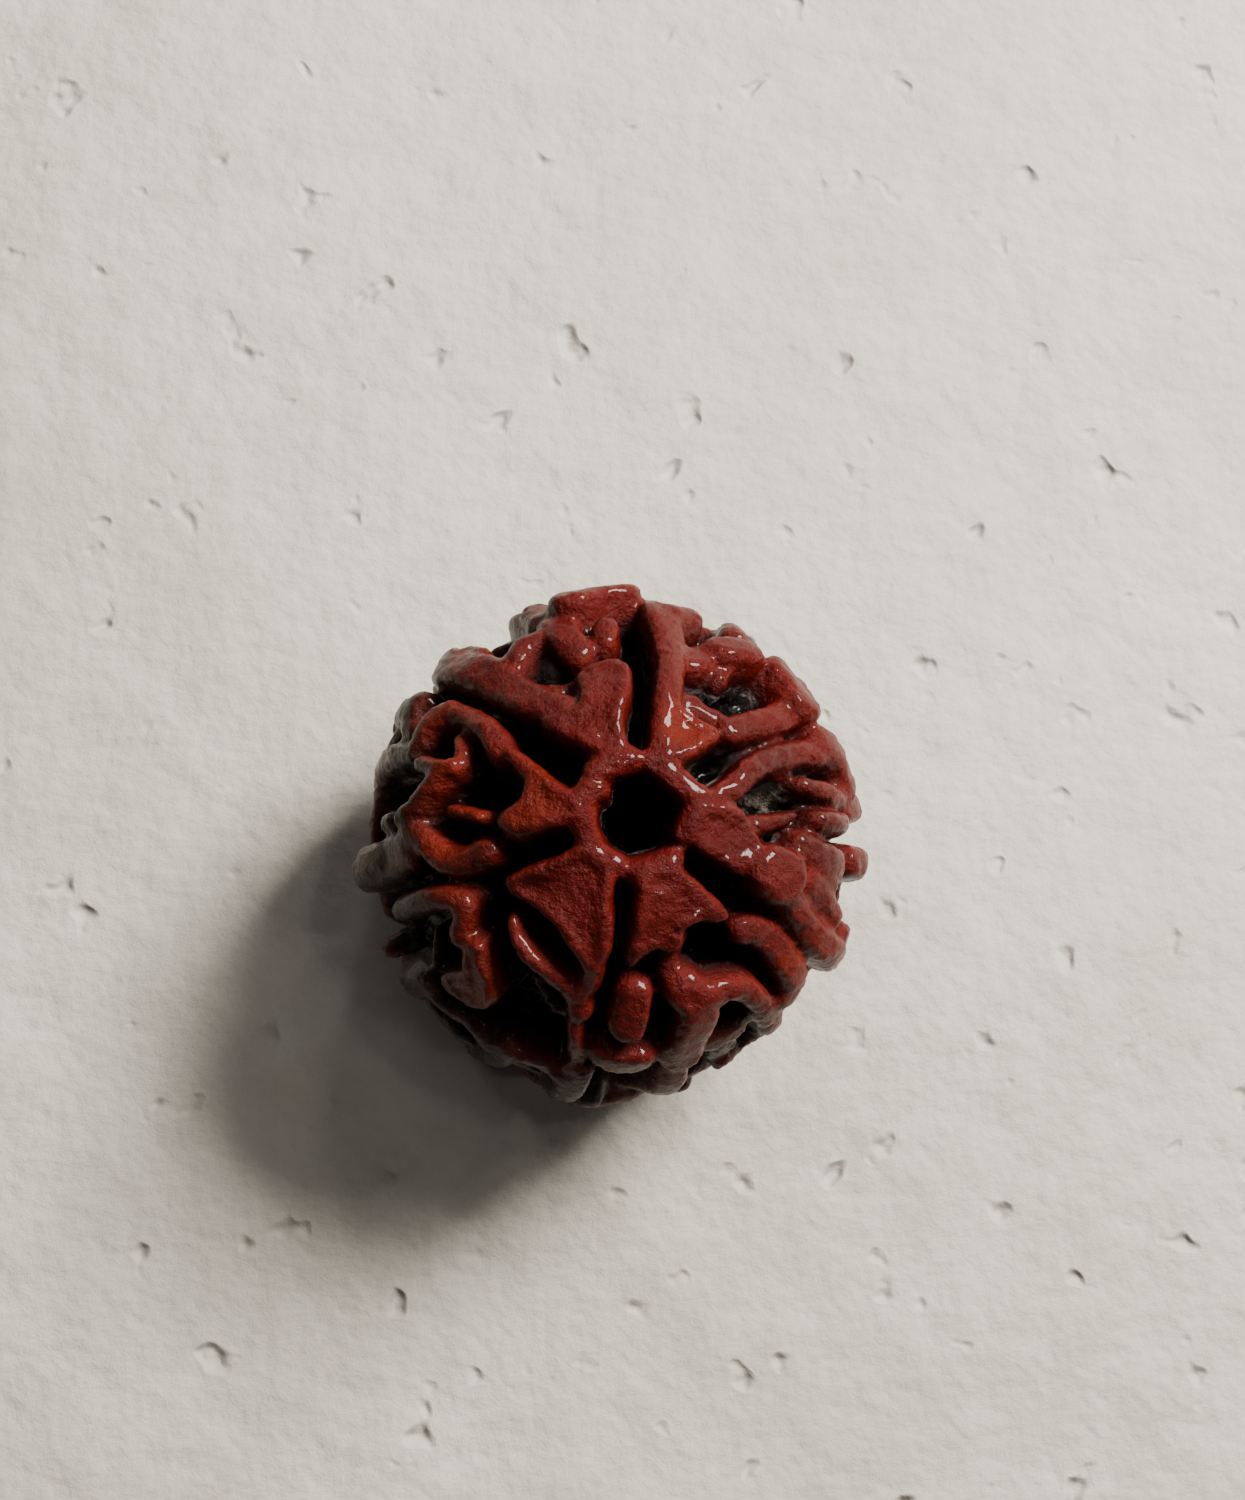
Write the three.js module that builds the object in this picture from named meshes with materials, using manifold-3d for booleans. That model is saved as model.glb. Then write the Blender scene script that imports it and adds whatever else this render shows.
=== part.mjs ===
// Rudraksha seed with six faces, standing on one end of its bore, millimetres, +Z up along the bore.
// The whole relief is read as longitude and colatitude in degrees about the bore:
// longitude 0 is +X, longitude 90 is +Y, colatitude 0 is the upper end of the bore.

import * as THREE from "three";
import { mergeVertices } from "three/addons/utils/BufferGeometryUtils.js";
import initManifold from "manifold-3d";

// Driving dimensions
const CREST_RADIUS = 10.6;
const CREST_HALF_HEIGHT = 9.85;
const CENTRE_HEIGHT = 9.25;
const WAIST_SWELL = 0.45;
const MEAN_RADIUS = 10.3;
const AXIS_OFFSET = [0.056, 0.009];

// Relief, all depths below the crest surface
const FACE_FLOOR = 2.4;
const CLEFT_FLOOR = 3.2;
const CLEFT_HALF_WIDTH = 0.75;
const LOW_RIDGE_STEP = 2.2;
const CREST_ROUNDING = 0.4;
const ROUNDED_SHARE = 0.9;
const WALL_SLOPE = 5;
const BLEND = 0.15;
const PLATE_DISH = 0.16;
const PLATE_LIP = 0.75;
const REACH = 1.6;
const WIDTH_SCALE = 0.88;
const PLATE_TRIM = 0;
const CREST_SCATTER = 0.3;
const LUMP_HEIGHT = 0.07;
const LUMP_PITCH = 4.2;
const LUMP_WAVES = 9;

// Where the points gather beside a ridge, measured from its outline
const CREST_EDGE = -0.05;
const WALL_FOOT = 0.4;
const EDGE_REACH = 0.32;

// Bore, from its mouth inwards: [radius, depth below the end]
const BORE_PROFILE = [[1.9, -1.2], [1.56, -0.1], [1.42, 0.7], [1.15, 1.8], [1.0, 3.4]];
const BORE_SEGMENTS = 28;

// Faces of the mesh
const SPHERE_DETAIL = 22;
const SETTLING_ROUNDS = 8;
const UPPER_CROWDING = 0.15;
const SNAP_ROUNDS = 4;
const SNAP_STEP = 0.16;
const PROBE = 0.02;
const LEAST_STEEPNESS = 0.5;
const CURVE_STEPS = 4;
const MERGE_DISTANCE = 1e-5;

const SEED_COLOUR = 0x7a2418;
const SEED_ROUGHNESS = 0.32;

// The six clefts, each as its longitude near the bore and at the waist
const CLEFTS = [[29, 29], [87, 87], [142, 142], [199.5, 196], [261, 265], [325, 330]];

// A ridge is [height share, width at its start, width at its end, [[longitude, colatitude], ...]]
const RIM = [
  [1, 1.3, 1.3, [[340, 12], [352, 12.5], [4, 14], [14, 14.5], [25, 12.5], [38, 12], [58, 12], [75, 12.5]]],
  [1, 1.2, 1.2, [[98, 12.5], [116, 12.5], [135, 13.5]]],
  [1, 0.9, 0.9, [[148, 13], [150, 10]]],
  [1, 1.2, 1.2, [[160, 12.5], [175, 12.5], [192, 12.5], [205, 12.5], [225, 13], [245, 12.5]]],
  [0.9, 0.9, 0.9, [[245, 12.5], [258, 13], [270, 13]]],
  [1, 1.2, 1.2, [[270, 13], [290, 12.5], [308, 13]]],
];

const FIRST_FACE = [
  [1.05, 1.25, 1.3, [[69, 15], [74, 25], [75.5, 34], [76, 41]]],
  [1.12, 1.4, 2.1, [[77, 43], [78, 50], [80, 58], [80.5, 68]]],
  [1.1, 1.3, 1.4, [[77, 60], [73, 65]]],
  [0.85, 1.3, 1.1, [[64, 33], [58, 32.5], [51, 34]]],
  [1, 1.6, 1.8, [[69, 46], [66, 51], [62, 54]]],
  [1.1, 1.8, 1.8, [[62, 54], [58, 56.5], [56, 59]]],
  [0.8, 1.3, 1.1, [[60, 54], [59, 46]]],
  [0.75, 1.1, 1, [[67, 50], [68, 44]]],
  [1, 1.3, 1.6, [[43.5, 33], [39.5, 41], [36.5, 50], [36.5, 58]]],
  [1.2, 2.1, 2.3, [[37, 60], [41, 63], [44.5, 64]]],
  [1, 0.9, 1, [[33, 62], [34, 75]]],
];

const SECOND_FACE = [
  [1, 1.8, 2, [[125, 32], [129, 37], [131, 43], [132, 50], [133, 58], [134.5, 68]]],
  [1, 1.2, 1.2, [[138, 71], [137, 78]]],
  [0.95, 1.3, 1.1, [[124, 53], [120, 55.5], [116.5, 55.5]]],
  [0.75, 0.8, 0.8, [[122, 41], [117, 38.5], [112, 38]]],
  [1, 1.5, 1.7, [[107, 46], [108.5, 52], [109, 60]]],
  [1.4, 2.1, 2.2, [[103, 62], [98, 65.5], [91.5, 68]]],
  [1.3, 1.2, 1.3, [[91.5, 68], [91.5, 78]]],
  [1.05, 1.1, 1.25, [[97.5, 47.5], [96.5, 51.5]]],
  [1.15, 1.7, 1.7, [[110, 67], [109.5, 75]]],
  [1, 0.9, 0.9, [[128, 68], [129, 74]]],
];

const THIRD_FACE = [
  [1, 1.4, 1.1, [[153, 36.5], [149, 40], [147, 43.5]]],
  [1, 1.1, 1.1, [[147, 43.5], [146, 50], [146.5, 56]]],
  [1, 1.3, 1.3, [[147, 57], [151, 61], [156, 63]]],
  [0.9, 0.75, 0.75, [[153, 50], [156.5, 47], [162, 45]]],
  [1, 0.8, 0.8, [[163, 57], [164, 50], [163.5, 46]]],
  [1, 0.95, 0.95, [[167, 49], [171, 52], [175, 55], [178, 60]]],
  [0.95, 0.7, 0.7, [[176.5, 46], [179, 38]]],
  [1, 1.2, 1.4, [[181.5, 57], [185, 53], [189.5, 50], [193, 46], [194, 41], [193, 36.5]]],
  [1, 1.9, 2.1, [[186, 60], [187, 72], [187, 84]]],
  [1, 1, 1, [[178, 66], [178, 70]]],
  [0.95, 1.1, 1.1, [[160, 64], [160, 75]]],
  [0.95, 1.1, 1.1, [[153, 70], [153, 75]]],
  [1, 1.1, 1.1, [[146, 72], [146, 77]]],
  [1, 1.3, 1.3, [[186, 26.5], [185, 28]]],
];

const FOURTH_FACE = [
  [1, 0.6, 1.25, [[220, 38], [226, 40], [233, 41], [240, 42], [247, 44], [253, 47], [255.5, 51]]],
  [1, 1.1, 1.2, [[255.5, 38], [255.5, 42], [254, 46]]],
  [1, 0.7, 0.85, [[255, 54], [257, 60.5], [259, 70]]],
  [1, 1.2, 1.1, [[199.5, 69], [200, 62], [201, 55], [203, 49.5], [206.5, 47], [210.5, 49], [214, 53]]],
  [0.9, 0.5, 0.6, [[209, 61], [214, 66], [219, 71]]],
  [1, 1.1, 1.1, [[220, 74], [226, 74], [233, 72], [239, 75], [245, 73], [251, 74], [258, 77]]],
  [0.5, 1, 1, [[240, 50], [250, 57]]],
];

const FIFTH_FACE = [
  [0.75, 1.3, 1, [[290, 30.5], [286, 35], [283, 39]]],
  [1.05, 1.7, 1.7, [[271, 43.5], [269.5, 51.5]]],
  [1, 1.8, 1.8, [[266, 63], [270, 64], [273.5, 63]]],
  [1, 1.9, 2.1, [[288, 43.5], [291, 48], [290, 54], [286.5, 61], [285, 66]]],
  [1, 1.3, 1.2, [[292, 46], [297, 48.5]]],
  [1, 1.2, 1.2, [[295, 46.5], [301.5, 48.5], [306.5, 53], [308.5, 60]]],
  [0.95, 1.4, 1.5, [[309.5, 66], [310.5, 71]]],
  [0.7, 1.6, 1.6, [[294, 69], [301, 69]]],
  [1.05, 1.4, 1.6, [[316, 38.5], [320, 42], [321.5, 48], [321, 55], [320, 64], [316, 68]]],
];

const SIXTH_FACE = [
  [1, 1.2, 1.3, [[12, 18], [18, 25], [23.5, 31], [25, 37], [25, 44.5], [24, 53], [22, 58]]],
  [0.7, 1.2, 0.9, [[23, 40], [18.5, 46]]],
  [1, 1.8, 2, [[25, 61], [21, 69], [15, 74]]],
  [1, 0.9, 1.1, [[14, 48], [12, 55], [10.5, 61.5], [10, 70]]],
  [0.9, 1.1, 0.5, [[358, 29], [0.5, 35.5], [4, 42.5]]],
  [1, 0.9, 1.1, [[2.5, 49], [2.5, 55], [3, 64]]],
  [0.7, 0.9, 1, [[357, 46], [357, 54]]],
  [1, 1.6, 1.7, [[353, 44], [351, 51], [351, 59]]],
  [1.15, 1.3, 1.6, [[334.5, 44], [332, 52], [331, 61], [331.5, 76]]],
  [1.15, 2.4, 2.5, [[340, 35], [340, 38]]],
  [1, 1.4, 1.3, [[342.5, 48], [341.5, 54], [339, 62]]],
  [1, 0.8, 0.9, [[346, 52], [345.5, 58]]],
];

const FACE_RIDGES = [FIRST_FACE, SECOND_FACE, THIRD_FACE, FOURTH_FACE, FIFTH_FACE, SIXTH_FACE];

// The flat-topped shields round the bore, as [face number, outline in longitude and colatitude]
const PLATES = [
  [0, [[72, 14], [76, 25], [73, 31], [66, 28], [57, 28], [47, 29], [43.5, 27], [45, 22], [50, 16], [56, 13]]],
  [1, [[97, 40.5], [91, 37], [91, 33], [93, 27], [98, 22], [99, 17], [97, 12], [112, 11], [125, 15],
    [132, 21.5], [135, 25], [136, 30], [134, 32], [126, 30], [117, 29], [114, 32], [112, 38], [104, 40]]],
  [2, [[152, 35], [156, 33], [162, 27.5], [170, 26.5], [175, 28.5], [180, 32.5], [184, 32], [189, 29],
    [191, 24], [191, 14], [180, 11], [165, 12], [160, 17], [155.5, 22], [151, 28], [150, 32]]],
  [3, [[209, 12], [208, 21], [205.5, 28], [205.5, 34.5], [211, 35], [219, 32.5], [227, 31.5], [235, 31.5],
    [247, 35], [254, 39], [258, 38], [260, 32], [258.5, 26], [253, 20], [247, 12]]],
  [3, [[215.5, 50], [219, 47], [223.5, 49], [229, 52], [233.5, 56], [233, 61], [229, 65], [223, 67.5],
    [218.5, 66.5], [220, 62], [221.5, 58], [218, 54]]],
  [4, [[268, 12], [268, 22], [266.5, 33], [268.5, 36.5], [274, 33.5], [280.5, 31.5], [285.5, 33.5],
    [291, 32.5], [294.5, 28.5], [302, 28.5], [311, 32], [315, 32], [315.5, 28], [313, 21], [309, 13]]],
  [5, [[10, 13], [10, 20], [5, 25], [354, 29], [347, 31], [342.5, 30.5], [338, 28.5], [332, 28],
    [330.5, 22], [331, 14], [345, 10]]],
];

// The lower half repeats the faces of the upper one from the far side of the bore
const FACE_COUNT = CLEFTS.length;
const FACE_OVERHANG = 10;
const SEMI_AXES = new THREE.Vector3(CREST_RADIUS, CREST_RADIUS, CREST_HALF_HEIGHT);
const LOWER_SOURCE = [3, 4, 5, 0, 1, 2];

// Ridges that tie the two halves together round the waist, as [height, longitudes at three levels]
const WAIST_LEVELS = [73, 90, 107];
const WAIST_TIES = [
  [1, 78, 80, 76], [1, 60, 61, 64], [1, 42, 42, 46], [1, 22, 23, 19], [1, 8, 10, 7], [1, 355, 356, 359],
  [1, 336, 338, 334], [0.7, 320, 320, 323], [0.7, 311, 311, 307], [0.6, 299, 297, 301], [0.9, 283, 281, 277],
  [1, 260, 258, 257], [1, 242, 241, 237], [1, 218, 214, 218], [1, 186, 188, 184], [0.85, 160, 161, 165],
  [1, 149, 148, 145], [1, 134, 132, 135], [0.9, 111, 112, 107], [1, 98, 96, 99],
];
const TIE_WIDTH = 1.5;

// Branches between those, just below the waist
const WAIST_LINKS = [
  [0.85, 1.2, 1, [[61, 93], [69, 90], [78, 95]]],
  [0.8, 1, 1.2, [[43, 96], [51, 99], [61, 96]]],
  [0.85, 1.1, 1.1, [[97, 95], [104, 92], [111, 97]]],
  [0.8, 1.2, 1, [[112, 99], [121, 96], [129, 100], [133, 97]]],
  [0.85, 1.1, 1, [[147, 92], [154, 96], [162, 93]]],
  [0.8, 1.2, 1.1, [[162, 98], [172, 93], [181, 96], [187, 92]]],
  [0.85, 1.1, 1.2, [[215, 92], [224, 96], [232, 93], [241, 97]]],
  [0.8, 1.1, 1, [[241, 90], [249, 94], [259, 91]]],
  [0.85, 1.2, 1, [[281, 97], [289, 94], [297, 98]]],
  [0.8, 1.1, 1.1, [[297, 90], [304, 94], [311, 91]]],
  [0.85, 1, 1.2, [[338, 98], [347, 94], [356, 97]]],
  [0.8, 1.1, 1, [[9, 94], [15, 98], [22, 95]]],
];

const random = (() => {
  let state = 4032;
  return () => {
    state = (state * 1664525 + 1013904223) % 4294967296;
    return state / 4294967296;
  };
})();

// Turns spherical coordinates about Y into ones about Z, with longitude 0 on +X
const UPRIGHT = new THREE.Matrix4().makeRotationX(Math.PI / 2);

function direction([longitude, colatitude]) {
  return new THREE.Vector3().setFromSphericalCoords(
    1,
    THREE.MathUtils.degToRad(colatitude),
    THREE.MathUtils.degToRad(longitude + 90),
  ).applyMatrix4(UPRIGHT);
}

// Low lumps all over, as a sum of waves that run in seeded directions
const lumpWaves = Array.from({ length: LUMP_WAVES }, () => ({
  heading: direction([360 * random(), 180 * random()]),
  phase: 2 * Math.PI * random(),
}));

function lumpAt(point) {
  let swell = 0;
  for (const { heading, phase } of lumpWaves) {
    swell += Math.sin((2 * Math.PI * point.dot(heading)) / LUMP_PITCH + phase);
  }
  return LUMP_HEIGHT * swell;
}

// A flat map of the crest surface about a shape's own middle, in millimetres
class LocalMap {
  constructor(points) {
    this.centre = points.reduce((sum, p) => sum.add(p), new THREE.Vector3()).normalize();
    const pole = new THREE.Vector3(0, 0, 1);
    this.east = pole.cross(this.centre).normalize();
    this.north = new THREE.Vector3().crossVectors(this.centre, this.east);
  }

  flatten(point) {
    const angle = Math.acos(THREE.MathUtils.clamp(point.dot(this.centre), -1, 1));
    const flat = new THREE.Vector2(point.dot(this.east), point.dot(this.north));
    return flat.setLength(angle * MEAN_RADIUS);
  }
}

function distanceToSegment(point, start, end) {
  const along = end.clone().sub(start);
  const share = THREE.MathUtils.clamp(point.clone().sub(start).dot(along) / along.lengthSq(), 0, 1);
  return { share, distance: point.distanceTo(start.clone().addScaledVector(along, share)) };
}

class Ridge {
  constructor([height, startWidth, endWidth, readings]) {
    const points = readings.map(direction);
    this.map = new LocalMap(points);
    this.step = (1 - height) * LOW_RIDGE_STEP + CREST_SCATTER * random();
    this.startHalf = (startWidth * WIDTH_SCALE) / 2;
    this.endHalf = (endWidth * WIDTH_SCALE) / 2;
    const flat = points.map((p) => this.map.flatten(p));
    this.line = new THREE.SplineCurve(flat).getPoints(CURVE_STEPS * (flat.length - 1));
    this.radius = Math.max(...this.line.map((p) => p.length())) + REACH;
  }

  // Below zero inside the outline
  outside(point) {
    let nearest = Infinity;
    const last = this.line.length - 1;
    for (let i = 0; i < last; i++) {
      const { share, distance } = distanceToSegment(point, this.line[i], this.line[i + 1]);
      const half = THREE.MathUtils.lerp(this.startHalf, this.endHalf, (i + share) / last);
      nearest = Math.min(nearest, distance - half);
    }
    return nearest;
  }

  fall(point) {
    return this.step + edgeFall(this.outside(point));
  }
}

class Plate {
  constructor(readings) {
    const points = readings.map(direction);
    this.map = new LocalMap(points);
    this.outline = points.map((p) => this.map.flatten(p));
    this.radius = Math.max(...this.outline.map((p) => p.length())) + REACH;
  }

  outside(point) {
    let nearest = Infinity;
    let inside = false;
    this.outline.forEach((end, i) => {
      const start = this.outline.at(i - 1);
      nearest = Math.min(nearest, distanceToSegment(point, start, end).distance);
      const spans = start.y > point.y !== end.y > point.y;
      const crossing = start.x + ((point.y - start.y) / (end.y - start.y)) * (end.x - start.x);
      if (spans && point.x < crossing) {
        inside = !inside;
      }
    });
    return (inside ? -nearest : nearest) + PLATE_TRIM;
  }

  fall(point) {
    const outside = this.outside(point);
    const dish = PLATE_DISH * THREE.MathUtils.smoothstep(-outside, CREST_ROUNDING * 0.5, PLATE_LIP);
    return edgeFall(outside) + dish;
  }
}

// The crest rounds over like a wax bead and then drops as a steep wall
function edgeFall(outside) {
  const share = THREE.MathUtils.clamp(1 + outside / CREST_ROUNDING, 0, ROUNDED_SHARE);
  const rounded = CREST_ROUNDING * (1 - Math.sqrt(1 - share * share));
  const wall = Math.max(0, outside + CREST_ROUNDING * (1 - ROUNDED_SHARE));
  return rounded + wall * WALL_SLOPE;
}

function smoothMin(a, b) {
  const overlap = Math.max(BLEND - Math.abs(a - b), 0) / BLEND;
  return Math.min(a, b) - (overlap * overlap * BLEND) / 4;
}

function faceSpan(face) {
  const start = CLEFTS[(face + FACE_COUNT) % FACE_COUNT][0];
  const end = CLEFTS[(face + 1) % FACE_COUNT][0];
  return [start, end > start ? end : end + 360];
}

// A reading of one face, carried to the lower half of another
function carryBelow([longitude, colatitude], from, to) {
  const [fromStart, fromEnd] = faceSpan(from);
  const [toStart, toEnd] = faceSpan(to);
  const turned = longitude < fromStart - FACE_OVERHANG ? longitude + 360 : longitude;
  const share = (turned - fromStart) / (fromEnd - fromStart);
  return [toStart + share * (toEnd - toStart), 180 - colatitude];
}

function buildShapes() {
  const shapes = [];
  for (const ridge of RIM) {
    const [height, startWidth, endWidth, readings] = ridge;
    const below = readings.map(([longitude, colatitude]) => [longitude, 180 - colatitude]);
    shapes.push(new Ridge(ridge), new Ridge([height, startWidth, endWidth, below]));
  }
  FACE_RIDGES.flat().forEach((ridge) => shapes.push(new Ridge(ridge)));
  PLATES.forEach(([, outline]) => shapes.push(new Plate(outline)));
  for (let face = 0; face < FACE_COUNT; face++) {
    const source = LOWER_SOURCE[face];
    for (const [height, startWidth, endWidth, readings] of FACE_RIDGES[source]) {
      const below = readings.map((reading) => carryBelow(reading, source, face));
      shapes.push(new Ridge([height, startWidth, endWidth, below]));
    }
    for (const [, outline] of PLATES.filter(([owner]) => owner === source)) {
      shapes.push(new Plate(outline.map((reading) => carryBelow(reading, source, face))));
    }
  }
  for (const [height, ...longitudes] of WAIST_TIES) {
    const readings = longitudes.map((longitude, i) => [longitude, WAIST_LEVELS[i]]);
    shapes.push(new Ridge([height, TIE_WIDTH, TIE_WIDTH, readings]));
  }
  WAIST_LINKS.forEach((link) => shapes.push(new Ridge(link)));
  return shapes;
}

function cleftDepth(unit) {
  const colatitude = Math.acos(THREE.MathUtils.clamp(unit.z, -1, 1));
  const longitude = THREE.MathUtils.radToDeg(Math.atan2(unit.y, unit.x));
  const ring = Math.sin(colatitude) * MEAN_RADIUS;
  const lean = ring / MEAN_RADIUS;
  let depth = 0;
  for (const [inner, outer] of CLEFTS) {
    const line = THREE.MathUtils.lerp(inner, outer, lean);
    const turn = THREE.MathUtils.euclideanModulo(longitude - line + 180, 360) - 180;
    const across = THREE.MathUtils.degToRad(turn) * ring;
    depth = Math.max(depth, Math.exp(-((across / CLEFT_HALF_WIDTH) ** 2)));
  }
  return depth;
}

function fallAt(unit, shapes) {
  let fall = THREE.MathUtils.lerp(FACE_FLOOR, CLEFT_FLOOR, cleftDepth(unit));
  for (const shape of shapes) {
    if (unit.dot(shape.map.centre) < Math.cos(shape.radius / MEAN_RADIUS)) {
      continue;
    }
    fall = smoothMin(fall, shape.fall(shape.map.flatten(unit)));
  }
  return fall;
}

function surfacePoint(unit, shapes) {
  const waist = 1 - unit.z * unit.z;
  const crest = SEMI_AXES.clone().multiply(unit);
  const outward = unit.clone().divide(SEMI_AXES).normalize();
  const rise = WAIST_SWELL * waist * waist + lumpAt(crest) - fallAt(unit, shapes);
  crest.addScaledVector(outward, rise);
  return crest.add(new THREE.Vector3(AXIS_OFFSET[0], AXIS_OFFSET[1], CENTRE_HEIGHT));
}

// Slides the points along the sphere until the raised surface has faces of about one size
function settle(units, index, shapes, rounds) {
  const triangle = new THREE.Triangle();
  for (let round = 0; round < rounds; round++) {
    const raised = units.map((unit) => surfacePoint(unit, shapes));
    const sums = units.map(() => new THREE.Vector3());
    for (let i = 0; i < index.length; i += 3) {
      const corners = [index[i], index[i + 1], index[i + 2]];
      triangle.set(...corners.map((corner) => raised[corner]));
      const area = triangle.getArea();
      const middle = corners.reduce((sum, corner) => sum.add(units[corner]), new THREE.Vector3()).normalize();
      corners.forEach((corner) => sums[corner].addScaledVector(middle, area));
    }
    units.forEach((unit, i) => unit.add(sums[i].normalize()).normalize());
  }
}

function nearestOutline(unit, shapes) {
  let nearest = Infinity;
  for (const shape of shapes) {
    if (unit.dot(shape.map.centre) > Math.cos(shape.radius / MEAN_RADIUS)) {
      nearest = Math.min(nearest, shape.outside(shape.map.flatten(unit)));
    }
  }
  return nearest;
}

// Draws the points beside a ridge onto its crest edge or the foot of its wall, so that its outline is clean
function snap(units, shapes) {
  for (const unit of units) {
    const outside = nearestOutline(unit, shapes);
    if (outside < CREST_EDGE - EDGE_REACH || outside > WALL_FOOT + EDGE_REACH) {
      continue;
    }
    const target = outside < (CREST_EDGE + WALL_FOOT) / 2 ? CREST_EDGE : WALL_FOOT;
    const east = new THREE.Vector3(-unit.y, unit.x, 0).normalize();
    const north = new THREE.Vector3().crossVectors(unit, east);
    const [eastSlope, northSlope] = [east, north].map((side) => {
      const probe = unit.clone().addScaledVector(side, PROBE / MEAN_RADIUS).normalize();
      return (nearestOutline(probe, shapes) - outside) / PROBE;
    });
    const steepness = Math.hypot(eastSlope, northSlope);
    if (steepness < LEAST_STEEPNESS) {
      continue;
    }
    const step = THREE.MathUtils.clamp(target - outside, -SNAP_STEP, SNAP_STEP) / MEAN_RADIUS / steepness;
    unit.addScaledVector(east, eastSlope * step).addScaledVector(north, northSlope * step).normalize();
  }
}

// The upper half gets the smaller faces
function crowdUpwards(unit) {
  const colatitude = Math.acos(THREE.MathUtils.clamp(unit.z, -1, 1));
  const crowded = colatitude - UPPER_CROWDING * Math.sin(colatitude);
  const ring = Math.hypot(unit.x, unit.y) || 1;
  const spread = Math.sin(crowded) / ring;
  return unit.set(unit.x * spread, unit.y * spread, Math.cos(crowded));
}

function reliefGeometry() {
  const shapes = buildShapes();
  const sphere = new THREE.IcosahedronGeometry(1, SPHERE_DETAIL);
  sphere.deleteAttribute("normal");
  sphere.deleteAttribute("uv");
  const merged = mergeVertices(sphere, MERGE_DISTANCE);
  const position = merged.getAttribute("position");
  const units = [];
  for (let i = 0; i < position.count; i++) {
    units.push(crowdUpwards(new THREE.Vector3().fromBufferAttribute(position, i).normalize()));
  }
  settle(units, merged.index.array, shapes, SETTLING_ROUNDS);
  for (let round = 0; round < SNAP_ROUNDS; round++) {
    snap(units, shapes);
  }
  units.forEach((unit, i) => position.setXYZ(i, ...surfacePoint(unit, shapes)));
  return merged;
}

function boreGeometry() {
  const top = CENTRE_HEIGHT + CREST_HALF_HEIGHT * Math.cos(THREE.MathUtils.degToRad(12));
  const upper = BORE_PROFILE.map(([radius, depth]) => new THREE.Vector2(radius, top - depth));
  const lower = BORE_PROFILE.map(([radius, depth]) => new THREE.Vector2(radius, depth)).reverse();
  const profile = [new THREE.Vector2(0, top - BORE_PROFILE[0][1]), ...upper, ...lower,
    new THREE.Vector2(0, BORE_PROFILE[0][1])].reverse();
  const bore = new THREE.LatheGeometry(profile, BORE_SEGMENTS);
  bore.rotateX(Math.PI / 2);
  return bore.translate(AXIS_OFFSET[0], AXIS_OFFSET[1], 0);
}

function belowFloorGeometry() {
  const side = 3 * CREST_RADIUS;
  return new THREE.BoxGeometry(side, side, side).translate(0, 0, -side / 2);
}

const wasm = await initManifold();
wasm.setup();

function solidOf(geometry) {
  const bare = geometry.clone();
  bare.deleteAttribute("normal");
  bare.deleteAttribute("uv");
  const merged = mergeVertices(bare, MERGE_DISTANCE);
  const vertProperties = new Float32Array(merged.getAttribute("position").array);
  const triVerts = new Uint32Array(merged.index.array);
  return new wasm.Manifold(new wasm.Mesh({ numProp: 3, vertProperties, triVerts }));
}

function geometryOf(solid) {
  const mesh = solid.getMesh();
  const geometry = new THREE.BufferGeometry();
  geometry.setAttribute("position", new THREE.BufferAttribute(new Float32Array(mesh.vertProperties), 3));
  geometry.setIndex(new THREE.BufferAttribute(new Uint32Array(mesh.triVerts), 1));
  geometry.computeVertexNormals();
  return geometry;
}

const seedSolid = solidOf(reliefGeometry())
  .subtract(solidOf(boreGeometry()))
  .subtract(solidOf(belowFloorGeometry()));

const seedMaterial = new THREE.MeshStandardMaterial({
  color: SEED_COLOUR,
  roughness: SEED_ROUGHNESS,
  metalness: 0,
});

const seed = new THREE.Mesh(geometryOf(seedSolid), seedMaterial);
seed.name = "rudraksha_seed";

const group = new THREE.Group();
group.name = "rudraksha";
group.add(seed);

export default group;
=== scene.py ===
"""Rudraksha seed with six faces, seen from above on a pale plaster floor. Metres, +Z up along the bore.

The relief repeats the seed's readings: longitude and colatitude in degrees about the bore, widths in
millimetres.
"""

import math

import bmesh
import bpy
import numpy as np
from mathutils import Matrix, Vector


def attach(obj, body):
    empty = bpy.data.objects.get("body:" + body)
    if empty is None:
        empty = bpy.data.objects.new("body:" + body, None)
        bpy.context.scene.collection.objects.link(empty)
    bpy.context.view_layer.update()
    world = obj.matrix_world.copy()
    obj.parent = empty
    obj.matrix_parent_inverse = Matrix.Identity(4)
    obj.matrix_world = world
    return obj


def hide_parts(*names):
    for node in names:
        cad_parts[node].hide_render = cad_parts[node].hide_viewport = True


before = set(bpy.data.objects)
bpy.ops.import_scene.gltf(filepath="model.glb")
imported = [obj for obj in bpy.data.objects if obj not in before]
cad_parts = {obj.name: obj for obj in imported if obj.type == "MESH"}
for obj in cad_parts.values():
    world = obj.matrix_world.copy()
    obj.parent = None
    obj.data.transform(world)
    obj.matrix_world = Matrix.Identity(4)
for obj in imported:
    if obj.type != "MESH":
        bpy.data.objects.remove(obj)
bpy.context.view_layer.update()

MM = 0.001

# Driving dimensions of the seed, in millimetres
CREST_RADIUS = 10.5
CREST_HALF_HEIGHT = 9.82
CENTRE_HEIGHT = 9.25
WAIST_SWELL = 0.45
MEAN_RADIUS = 10.3
AXIS_OFFSET = (0.056, 0.009)
SEMI_AXES = np.array([CREST_RADIUS, CREST_RADIUS, CREST_HALF_HEIGHT])
SEED_CENTRE = np.array([AXIS_OFFSET[0], AXIS_OFFSET[1], CENTRE_HEIGHT])

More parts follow.
